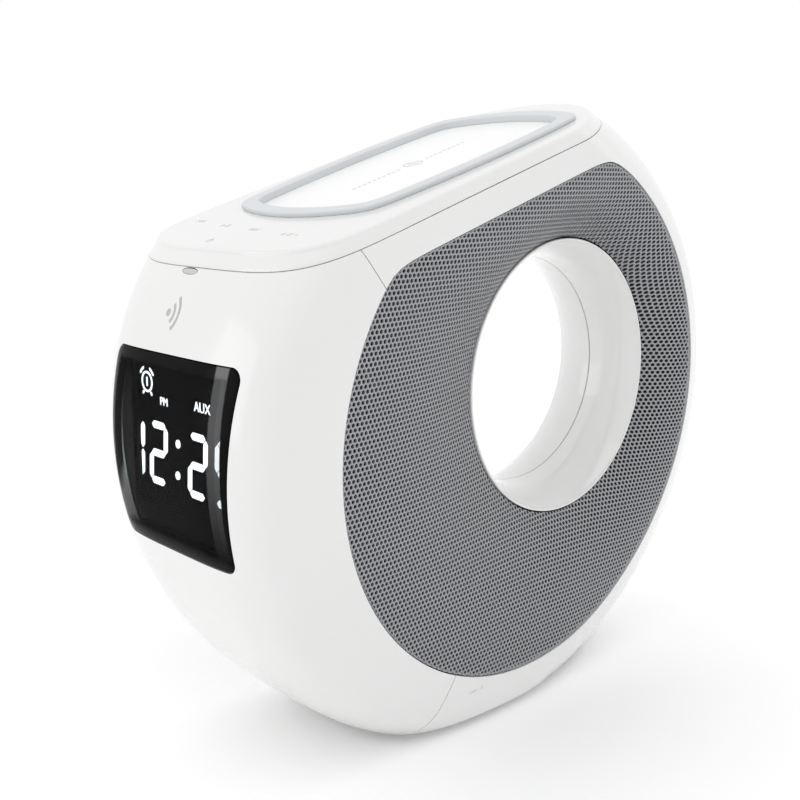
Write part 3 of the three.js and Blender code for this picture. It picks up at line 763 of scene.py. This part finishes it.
# ---- grille and bore -----------------------------------------------------------------------------
def grille_x(y, z):
    """Height of the dished sheet over a place of the side view."""
    angle = np.arctan2(z - BORE_Z, y - BORE_Y)
    inner = BORE_R + GAP
    outer = grille_reach(angle)
    share = (np.hypot(y - BORE_Y, z - BORE_Z) - inner) / (outer - inner)
    drop = (1 - np.clip(share, 0, 1)) ** (2 - 0.5 * np.maximum(0, np.cos(angle)))
    edge = BORE_Y + outer * np.cos(angle), BORE_Z + outer * np.sin(angle)
    rim = side_x(y, z) + body_x(*edge) - side_x(*edge) - 0.4
    return rim + (bore_x(angle) - rim) * drop


SLIVER = 1e-9                   # square metres: webs squeezed flat at the outline are left out


def held_inside(y, z):
    """Places moved onto the grille's outline or the bore's edge where they lie past it."""
    angle = np.arctan2(z - BORE_Z, y - BORE_Y)
    reach = np.clip(np.hypot(y - BORE_Y, z - BORE_Z), BORE_R + GAP, grille_reach(angle))
    return BORE_Y + reach * np.cos(angle), BORE_Z + reach * np.sin(angle)


def build_grille():
    """The perforated sheet: six-sided holes in rows, pressed into the dish, with a folded edge."""
    pitch, width = in_mm(sizes().hole_pitch), in_mm(sizes().hole_width)
    row_step = pitch * math.sqrt(0.75)
    rows, columns = int(190 / (pitch * 0.866)), int(300 / pitch)
    b, a = np.mgrid[0:rows, 0:columns]
    y = (a + b * 0.5) * pitch - 190.0
    z = b * row_step + 2.0
    angle = np.arctan2(z - BORE_Z, y - BORE_Y)
    reach = np.hypot(y - BORE_Y, z - BORE_Z)
    kept = (reach > BORE_R + GAP - pitch) & (reach < grille_reach(angle) + pitch)
    index = np.where(kept, np.cumsum(kept.ravel()).reshape(kept.shape) - 1, -1)
    turn = np.radians(30 + 60 * np.arange(6))
    hole_y = (y[kept][:, None] + width / math.sqrt(3) * np.cos(turn)).ravel()
    hole_z = (z[kept][:, None] + width / math.sqrt(3) * np.sin(turn)).ravel()
    hole_y, hole_z = held_inside(hole_y, hole_z)
    points = np.stack([grille_x(hole_y, hole_z), hole_y, hole_z], axis=1)
    links = (((1, 0), ((0, 5), (1, 3), (1, 2), (0, 0))), ((0, 1), ((0, 0), (1, 4), (1, 3), (0, 1))),
             ((-1, 1), ((0, 1), (1, 5), (1, 4), (0, 2))))
    faces = []
    for i, j in np.argwhere(kept):
        here = index[i, j] * 6
        near = {step: index[i + step[1], j + step[0]] if i + step[1] < rows else -1
                for step in ((1, 0), (0, 1), (-1, 1))}
        for step, corners in links:
            if near[step] >= 0:
                faces.append([(near[step] * 6 if which else here) + k for which, k in corners])
        if near[1, 0] >= 0 and near[0, 1] >= 0:
            faces.append([here, near[1, 0] * 6 + 2, near[0, 1] * 6 + 4])
        if near[0, 1] >= 0 and near[-1, 1] >= 0:
            faces.append([here + 1, near[0, 1] * 6 + 3, near[-1, 1] * 6 + 5])
    grille = mesh_piece("grille_sheet", points, faces)
    work = bmesh.new()
    work.from_mesh(grille.data)
    slivers = [f for f in work.faces if f.calc_area() < SLIVER]
    bmesh.ops.delete(work, geom=slivers, context="FACES")
    across = 240
    edge = round_angles(across)
    fold = []
    for depth, inset in ((0.0, 0.25), (0.35, 0.0), (3.0, 0.0)):
        reach = grille_reach(edge) - inset
        place = BORE_Y + reach * np.cos(edge), BORE_Z + reach * np.sin(edge)
        row = np.stack([grille_x(*place) - depth, *place], axis=1) * MM
        fold.append([work.verts.new(p) for p in row])
    for corners in ring_faces(len(fold), across):
        work.faces.new([fold[corner // across][corner % across] for corner in corners])
    bmesh.ops.delete(work, geom=[v for v in work.verts if not v.link_faces], context="VERTS")
    work.to_mesh(grille.data)
    work.free()
    face_up(grille)
    apply_modifier(grille, "SOLIDIFY", thickness=sizes().sheet, offset=-1)
    return smooth(grille, 35)


def face_up(obj):
    """Turns every face of an open sheet to the side that looks away from the middle plane."""
    work = bmesh.new()
    work.from_mesh(obj.data)
    wrong = [f for f in work.faces if f.normal.x < 0]
    bmesh.ops.reverse_faces(work, faces=wrong)
    work.to_mesh(obj.data)
    work.free()


def build_liner():
    """Half of the hole's lining, from the seam in the middle plane to its bead at the grille."""
    angle = round_angles(224)
    edge = bore_x(angle) + 0.5
    bead = 0.35
    lip = BORE_R - 0.12 - bead
    rows = []

    def row(x, r):
        rows.append(np.stack([x, BORE_Y + r * np.cos(angle), BORE_Z + r * np.sin(angle)], axis=1))

    start = GAP / 2
    row(start + 0 * angle, BORE_WAIST + 0.2)
    for share in np.linspace(0.012, 1, 26):
        row(start + (edge - bead - start) * share, BORE_WAIST + (lip - bead - BORE_WAIST) * share**2.2)
    for turn in np.radians([30, 60, 90, 120, 150, 180]):
        row(edge - bead + bead * np.sin(turn), lip - bead * np.cos(turn))
    row(edge - 2.5, lip + bead)
    row(start + 0 * angle, BORE_WAIST + 2)
    faces = ring_faces(len(rows), len(angle), True)
    return smooth(face_outwards(mesh_piece("lining", np.concatenate(rows), faces)), 40)


# ---- display -------------------------------------------------------------------------------------
# Lit segments of each shown digit. a is the top one, b to f follow clockwise, g is the middle one.
SEGMENTS = {"1": "bc", "2": "abged", "9": "abcdfg"}
DIGITS = (("1", -28.3), ("2", -16.1), ("2", 3.7), ("9", 16.5))      # each digit and its middle's x
DIGIT_Z, DIGIT_LEAN, COLON_X = 86.0, 0.075, -6.1
CLOCK_X, CLOCK_Z = -20.9, 104.9
WORDS = [("PM", -12.3, 100.5, 2.2), ("AUX", 6.7, 101.6, 2.6)]       # text, x, z and height


def bar(start, end, width, gap=0.25):
    """A lit bar with mitred ends, from start to end, as a loop of (x, z)."""
    start, end = np.array(start, float), np.array(end, float)
    along = (end - start) / np.linalg.norm(end - start)
    across = np.array([-along[1], along[0]]) * width / 2
    a, b = start + along * gap, end - along * gap
    tip = along * width / 2
    return [a, a + tip + across, b - tip + across, b, b - tip - across, a + tip - across]


def digit_bars(digit, centre_x, centre_z, width, height, stroke):
    half, rise = (width - stroke) / 2, (height - stroke) / 2
    ends = {
        "a": ((-half, rise), (half, rise)), "b": ((half, rise), (half, 0)), "c": ((half, 0), (half, -rise)),
        "d": ((-half, -rise), (half, -rise)), "e": ((-half, 0), (-half, -rise)),
        "f": ((-half, rise), (-half, 0)), "g": ((-half, 0), (half, 0)),
    }
    centre = np.array([centre_x, centre_z])
    return [bar(centre + ends[key][0], centre + ends[key][1], stroke) for key in SEGMENTS[digit]]


def disc(x, z, radius, sides=24, start=0.0, sweep=2 * math.pi):
    t = start + np.arange(sides) * sweep / (sides if sweep > 6 else sides - 1)
    return [(x + radius * math.cos(k), z + radius * math.sin(k)) for k in t]


def hoop_parts(x, z, outer, inner, start=0.0, sweep=2 * math.pi, parts=24):
    """A ring or an arc as quads."""
    cuts = np.linspace(start, start + sweep, parts + 1)
    return [[(x + r * math.cos(t), z + r * math.sin(t)) for r, t in
             ((inner, a), (outer, a), (outer, b), (inner, b))] for a, b in zip(cuts, cuts[1:])]


def plates(name, loops, place, thickness):
    """Thin plates from flat loops; place turns (u, v) rows into points and outward directions."""
    points, faces = [], []
    for loop in loops:
        face, away = place(np.array(loop, float))
        first, count = len(points), len(loop)
        points += list(face + away * thickness) + list(face)
        faces.append(tuple(range(first, first + count)))
        faces.append(tuple(range(first + 2 * count - 1, first + count - 1, -1)))
        for j in range(count):
            k = (j + 1) % count
            faces.append((first + j, first + j + count, first + k + count, first + k))
    return face_outwards(mesh_piece(name, points, faces))


def on_panel(flat):
    x, z = flat.T
    return np.stack([x, np.full(len(x), PANEL_FACE_Y), z], axis=1), np.array([0.0, -1.0, 0.0])


def on_front_skin(flat):
    points = on_front(*flat.T)
    return points, surface_normal(points)


def on_deck(flat, height=DECK):
    return from_deck(*flat.T, height), from_deck(0, 0, 1) - from_deck(0, 0, 0)


def on_pad(flat):
    return on_deck(flat, DECK - PLATE_SINK)


def on_right_side(flat):
    y, z = flat.T
    start = np.stack([np.zeros(len(y)), y, z], axis=1)
    points = to_surface(start, np.array([[1.0, 0.0, 0.0]]))
    return points, surface_normal(points)


def join(name, pieces):
    """Several objects made into the first one."""
    only(pieces[0])
    for obj in pieces:
        obj.select_set(True)
    bpy.ops.object.join()
    pieces[0].name = pieces[0].data.name = name
    return pieces[0]


def lettering(name, words, place, thickness=0.12):
    """Flat words as one mesh: each is (text, x, z, height)."""
    made = []
    for text, x, z, height in words:
        bpy.ops.object.select_all(action="DESELECT")
        bpy.ops.object.text_add(location=(0, 0, 0))
        obj = bpy.context.object
        obj.data.body, obj.data.size = text, height / 0.7
        obj.data.align_x, obj.data.align_y, obj.data.offset = "CENTER", "CENTER", 0.0
        bpy.ops.object.convert(target="MESH")
        flat = np.array([v.co[:2] for v in obj.data.vertices]) + (x, z)
        points, away = place(flat)
        for vertex, point in zip(obj.data.vertices, points):
            vertex.co = Vector(point) * MM
        only(obj)
        bpy.ops.object.mode_set(mode="EDIT")
        bpy.ops.mesh.select_all(action="SELECT")
        shift = Vector(np.ravel(away)[:3]) * thickness * MM
        bpy.ops.mesh.extrude_region_move(TRANSFORM_OT_translate={"value": shift})
        bpy.ops.object.mode_set(mode="OBJECT")
        made.append(face_outwards(obj))
    return join(name, made)


def build_display_marks():
    """The lit time with its colon, the alarm sign and the two words."""
    size = sizes()
    width, height, stroke = (in_mm(v) for v in (size.digit_width, size.digit_height, size.stroke))
    time = [disc(COLON_X, DIGIT_Z + dz, 1.15) for dz in (4.3, -4.3)]
    for digit, x in DIGITS:
        time += digit_bars(digit, x, DIGIT_Z, width, height, stroke)
    loops = [[(x + DIGIT_LEAN * (z - DIGIT_Z), z) for x, z in loop] for loop in time]
    loops += hoop_parts(CLOCK_X, CLOCK_Z, 2.9, 2.3)
    loops += [bar((CLOCK_X, CLOCK_Z - 1.3), (CLOCK_X, CLOCK_Z + 1.4), 0.6, 0.0)]
    for sign in (-1, 1):
        turn = math.pi / 2 - sign * 0.72
        loops.append(disc(CLOCK_X, CLOCK_Z, 4.3, 8, turn - 0.34, 0.68)
                     + disc(CLOCK_X, CLOCK_Z, 3.65, 8, turn + 0.3, -0.6))
        foot_from, foot_to = (CLOCK_X + sign * 1.7, CLOCK_Z - 2.5), (CLOCK_X + sign * 2.5, CLOCK_Z - 3.6)
        loops.append(bar(foot_from, foot_to, 0.7, 0.0))
    signs = plates("display_signs", loops, on_panel, 0.12)
    words = lettering("display_words", WORDS, on_panel)
    return join("display_time", [signs, words])


# ---- printed marks -------------------------------------------------------------------------------
KEY_PLACES = ((-30.9, -77.8), (-14.9, -80.0), (1.1, -81.5), (19.0, -83.4), (-6.8, -90.7))


def arrow(x, y, size, way=1):
    back, tip = x - way * size / 2, x + way * size / 2
    return [(back, y - size / 2), (tip, y), (back, y + size / 2)][::way]


def block(x, y, width, height):
    return [(x - width / 2, y - height / 2), (x + width / 2, y - height / 2),
            (x + width / 2, y + height / 2), (x - width / 2, y + height / 2)]


def build_key_marks():
    """Plain signs for five touch keys: back, play, on, volume and light."""
    back, play, forward, volume, light = KEY_PLACES
    loops = []
    x, row = back
    loops += [block(x - 1.5, row, 0.35, 1.9), arrow(x - 0.3, row, 1.8, -1), arrow(x + 1.3, row, 1.8, -1)]
    x, row = play
    loops += [arrow(x - 1.0, row, 1.9), block(x + 0.8, row, 0.4, 1.9), block(x + 1.6, row, 0.4, 1.9)]
    x, row = forward
    loops += [arrow(x - 1.3, row, 1.8), arrow(x + 0.3, row, 1.8), block(x + 1.5, row, 0.35, 1.9)]
    x, row = volume
    loops += [block(x - 2.7, row, 1.8, 0.35), block(x - 2.7, row, 0.35, 1.8), block(x + 2.7, row, 1.8, 0.35)]
    loops += hoop_parts(x, row, 0.9, 0.6, parts=14)
    x, row = light
    loops += hoop_parts(x, row, 1.1, 0.8, parts=16)
    loops += [block(x, row + 0.8, 0.35, 1.6)]
    return plates("key_marks", loops, on_deck, 0.03)


def build_pad_marks():
    """A fine dashed centre line and a cross that show where a phone's middle goes."""
    middle = PAD_MID + 0.75
    loops = [block(0, y, 0.8, 1.1) for y in np.arange(-46, -1, 1.9) if abs(y - middle) > 4.6]
    loops += [block(0, middle, 5.6, 0.35), block(0, middle, 0.35, 5.6)]
    loops += hoop_parts(0, middle, 3.0, 2.6, parts=28)
    return plates("pad_marks", loops, on_pad, 0.03)


def build_front_mark():
    """A plain sound sign: a dot and two arcs."""
    x, z = -7.0, 124.8
    loops = [disc(x, z, 0.95, 16)]
    loops += hoop_parts(x, z, 3.2, 2.3, -0.9, 1.8, 14)
    loops += hoop_parts(x, z, 5.4, 4.5, -0.9, 1.8, 18)
    return plates("front_mark", loops, on_front_skin, 0.03)


def build_side_mark():
    y, z = -22.5, 12.0
    return plates("side_mark", [arrow(y, z, 1.3, -1), block(y - 3.4, z, 3.0, 0.5)], on_right_side, 0.03)


# ---- base ----------------------------------------------------------------------------------------
def build_foot():
    """One rubber foot with a rounded rim, at the first foot's place."""
    low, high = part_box("foot_1")
    centre, span = (low + high) / 2, high - low
    bpy.ops.object.select_all(action="DESELECT")
    bpy.ops.mesh.primitive_cylinder_add(vertices=48, radius=span.x / 2, depth=span.z, location=centre)
    foot = bpy.context.object
    bpy.ops.object.transform_apply(location=True, rotation=True, scale=True)
    foot.name = foot.data.name = "rubber_foot_1"
    apply_modifier(foot, "BEVEL", width=0.45 * MM, segments=3, limit_method="ANGLE")
    return smooth(foot, 35)


# ---- operators -----------------------------------------------------------------------------------
class BuildOperator:
    bl_options = {"REGISTER", "UNDO"}

    def execute(self, context):
        self.build()
        return {"FINISHED"}


class RADIO_OT_casing(BuildOperator, bpy.types.Operator):
    """Front and rear casing and the lid"""
    bl_idname, bl_label = "radio.casing", "Casing"

    def build(self):
        front, rear = build_casing()
        white = moulded_gloss("casing_white", colours().casing, 0.13)
        finish_piece(front, white, "casing_white", "front_shell")
        finish_piece(rear, white, "casing_white", "rear_shell")
        finish_piece(build_lid(), white, "casing_white", "top_cover")
        finish_node("base_plate", white)


class RADIO_OT_grilles(BuildOperator, bpy.types.Operator):
    """Perforated sheets on both sides"""
    bl_idname, bl_label = "radio.grilles", "Grilles"

    def build(self):
        paint = painted_sheet("grille_steel", colours().sheet)
        right = build_grille()
        left = mirrored_copy(right, "grille_sheet_left")
        right.name = right.data.name = "grille_sheet_right"
        finish_piece(right, paint, "grille_steel", "grille_right")
        finish_piece(left, paint, "grille_steel", "grille_left")


class RADIO_OT_lining(BuildOperator, bpy.types.Operator):
    """Glossy lining of the hole, in two halves"""
    bl_idname, bl_label = "radio.lining", "Hole lining"

    def build(self):
        gloss = moulded_gloss("liner_white", colours().liner, 0.1, 0.5)
        right = build_liner()
        left = mirrored_copy(right, "lining_left")
        right.name = right.data.name = "lining_right"
        finish_piece(right, gloss, "liner_white", "bore_liner_right")
        finish_piece(left, gloss, "liner_white", "bore_liner_left")


class RADIO_OT_display(BuildOperator, bpy.types.Operator):
    """Smoked window, lit time and status lens"""
    bl_idname, bl_label = "radio.display", "Display"

    def build(self):
        window = flush_patch("window", window_outline(), 2.0)
        smoke = smoked_lens("window_black", colours().smoke, 0.3)
        finish_piece(window, smoke, "window_black", "display_window")
        lens = flush_patch("status_slot", status_outline(-0.05), 1.6, soften=0.2, rings=6)
        finish_piece(lens, moulded_gloss("status_grey", (0.5, 0.5, 0.5), 0.3), "window_black", "status_lens")
        light = lit_segments("display_light", colours().glow, 3.2)
        finish_piece(build_display_marks(), light, "display_black")
        finish_node("display_panel", flat_black("display_black"))
        finish_node("display_frame", flat_black("frame_black"))


class RADIO_OT_charger(BuildOperator, bpy.types.Operator):
    """Rubber ring and the white plate inside it"""
    bl_idname, bl_label = "radio.charger", "Charging top"

    def build(self):
        finish_piece(build_ring(), soft_rubber("ring_rubber", colours().ring), "ring_rubber", "pad_ring")
        plate = moulded_gloss("pad_white", colours().plate, 0.3, 0.1)
        finish_piece(build_pad(), plate, "pad_white", "charging_pad")


class RADIO_OT_marks(BuildOperator, bpy.types.Operator):
    """Printed signs on the lid, plate, front and side"""
    bl_idname, bl_label = "radio.marks", "Printed marks"

    def build(self):
        ink = printed_ink("printed_grey", colours().ink)
        faint = printed_ink("printed_faint", [c * 1.35 for c in colours().ink])
        finish_piece(build_key_marks(), faint, "casing_white")
        finish_piece(build_pad_marks(), faint, "pad_white")
        finish_piece(build_front_mark(), ink, "casing_white")
        finish_piece(build_side_mark(), faint, "casing_white")


class RADIO_OT_base(BuildOperator, bpy.types.Operator):
    """Rubber feet"""
    bl_idname, bl_label = "radio.base", "Base"

    def build(self):
        rubber = soft_rubber("black_rubber", (0.03, 0.03, 0.03))
        first = build_foot()
        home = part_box("foot_1")[0]
        for number in (2, 3, 4):
            foot = copy_of(first, f"rubber_foot_{number}")
            foot.data.transform(Matrix.Translation(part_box(f"foot_{number}")[0] - home))
            finish_piece(foot, rubber, "black_rubber", f"foot_{number}")
        finish_piece(first, rubber, "black_rubber", "foot_1")


class RADIO_OT_inside(BuildOperator, bpy.types.Operator):
    """Finishes of the frame's own pieces inside and at the rear"""
    bl_idname, bl_label = "radio.inside", "Inside"

    def build(self):
        black = moulded_matt("moulded_black", (0.012, 0.012, 0.013))
        green = circuit_mask("circuit_board", (0.03, 0.16, 0.07))
        steel = bright_metal("bright_steel", (0.62, 0.63, 0.64))
        paper = moulded_matt("cone_paper", (0.02, 0.02, 0.022), 0.8)
        looks = {
            "inner_black": black, "circuit_board": green, "bright_steel": steel, "cone_paper": paper,
            "black_rubber": soft_rubber("surround_rubber", (0.02, 0.02, 0.02)),
            "coil_copper": wound_wire("coil_copper", (0.72, 0.35, 0.18)),
            "ferrite": moulded_matt("ferrite", (0.05, 0.05, 0.055), 0.7),
        }
        slots = {row["node"]: row["material_slot"] for row in frame["record"]["subparts"]}
        for node, slot in slots.items():
            if slot in looks and node != "display_frame" and not node.startswith("foot"):
                finish_node(node, looks[slot])


def finish_node(node, look):
    """Gives one of the frame's own pieces a better material."""
    mesh = frame["nodes"][node].data
    mesh.materials.clear()
    mesh.materials.append(look)


CAMERA_PLACE = (0.2525, -0.2469, 0.1584)
CAMERA_PITCH, CAMERA_ROLL, CAMERA_HEADING = (math.radians(angle) for angle in (79.3, 0.18, 48.24))


def area_light(name, place, aim, size, power, color=(1, 1, 1)):
    data = bpy.data.lights.new(name, "AREA")
    data.shape, data.size, data.size_y, data.energy, data.color = "RECTANGLE", *size, power, color
    lamp = bpy.data.objects.new(name, data)
    lamp.location = place
    lamp.rotation_euler = (Vector(aim) - Vector(place)).to_track_quat("-Z", "Y").to_euler()
    bpy.context.scene.collection.objects.link(lamp)
    return lamp


class RADIO_OT_stage(BuildOperator, bpy.types.Operator):
    """Floor, soft studio light and camera"""
    bl_idname, bl_label = "radio.stage", "Studio"

    def build(self):
        bpy.ops.object.select_all(action="DESELECT")
        bpy.ops.mesh.primitive_plane_add(size=8)
        floor = bpy.context.object
        floor.name = "studio_floor"
        look = Look("studio_floor")
        cloud = look.noise(3, 2)
        floor.data.materials.append(look.shade(
            Base_Color=look.mix(cloud, shade_of(colours().floor, 0.99), shade_of(colours().floor, 1.0)),
            Emission_Color=(1, 1, 1, 1), Emission_Strength=0.07, Roughness=0.7))
        world = bpy.data.worlds.new("studio")
        bpy.context.scene.world = world
        world.use_nodes = True
        backdrop = world.node_tree.nodes["Background"]
        backdrop.inputs["Color"].default_value = (1, 1, 1, 1)
        backdrop.inputs["Strength"].default_value = 1.0
        aim = (0, 0, 0.09)
        area_light("key", (-0.7, -1.15, 0.2), aim, (0.9, 0.9), 2.3)
        area_light("top", (0.05, -0.1, 1.3), aim, (1.2, 1.2), 1.9)
        area_light("rim", (0.5, 1.1, 0.7), aim, (0.8, 0.8), 0.4)
        bpy.context.scene.view_settings.view_transform = "Standard"
        data = bpy.data.cameras.new("camera")
        camera = bpy.data.objects.new("camera", data)
        bpy.context.scene.collection.objects.link(camera)
        camera.matrix_world = (Matrix.Translation(CAMERA_PLACE) @ Matrix.Rotation(CAMERA_HEADING, 4, "Z")
                               @ Matrix.Rotation(CAMERA_PITCH, 4, "X") @ Matrix.Rotation(CAMERA_ROLL, 4, "Z"))
        data.sensor_width, data.lens = 36.0, 51.6
        data.shift_x, data.shift_y = -0.0164, -0.0051
        data.clip_start, data.clip_end = 0.01, 50
        bpy.context.scene.camera = camera


OPERATORS = (RADIO_OT_stage, RADIO_OT_casing, RADIO_OT_grilles, RADIO_OT_lining, RADIO_OT_display,
             RADIO_OT_charger, RADIO_OT_marks, RADIO_OT_base, RADIO_OT_inside)


class RADIO_PT_panel(bpy.types.Panel):
    """Every piece of the radio and its settings"""
    bl_idname, bl_label = "RADIO_PT_panel", "Clock Radio"
    bl_space_type, bl_region_type, bl_category = "VIEW_3D", "UI", "Clock Radio"

    def draw(self, context):
        for operator in OPERATORS:
            self.layout.operator(operator.bl_idname)
        for group in (context.scene.radio_sizes, context.scene.radio_colours):
            for key in group.bl_rna.properties.keys():
                if key not in ("rna_type", "name"):
                    self.layout.prop(group, key)


CLASSES = (RadioSizes, RadioColours, *OPERATORS, RADIO_PT_panel)


def register():
    for cls in CLASSES:
        bpy.utils.register_class(cls)
    bpy.types.Scene.radio_sizes = bpy.props.PointerProperty(type=RadioSizes)
    bpy.types.Scene.radio_colours = bpy.props.PointerProperty(type=RadioColours)


def unregister():
    del bpy.types.Scene.radio_colours
    del bpy.types.Scene.radio_sizes
    for cls in reversed(CLASSES):
        bpy.utils.unregister_class(cls)


def main():
    register()
    for operator in OPERATORS:
        getattr(bpy.ops.radio, operator.bl_idname.split(".")[1])()


if __name__ == "__main__":
    main()
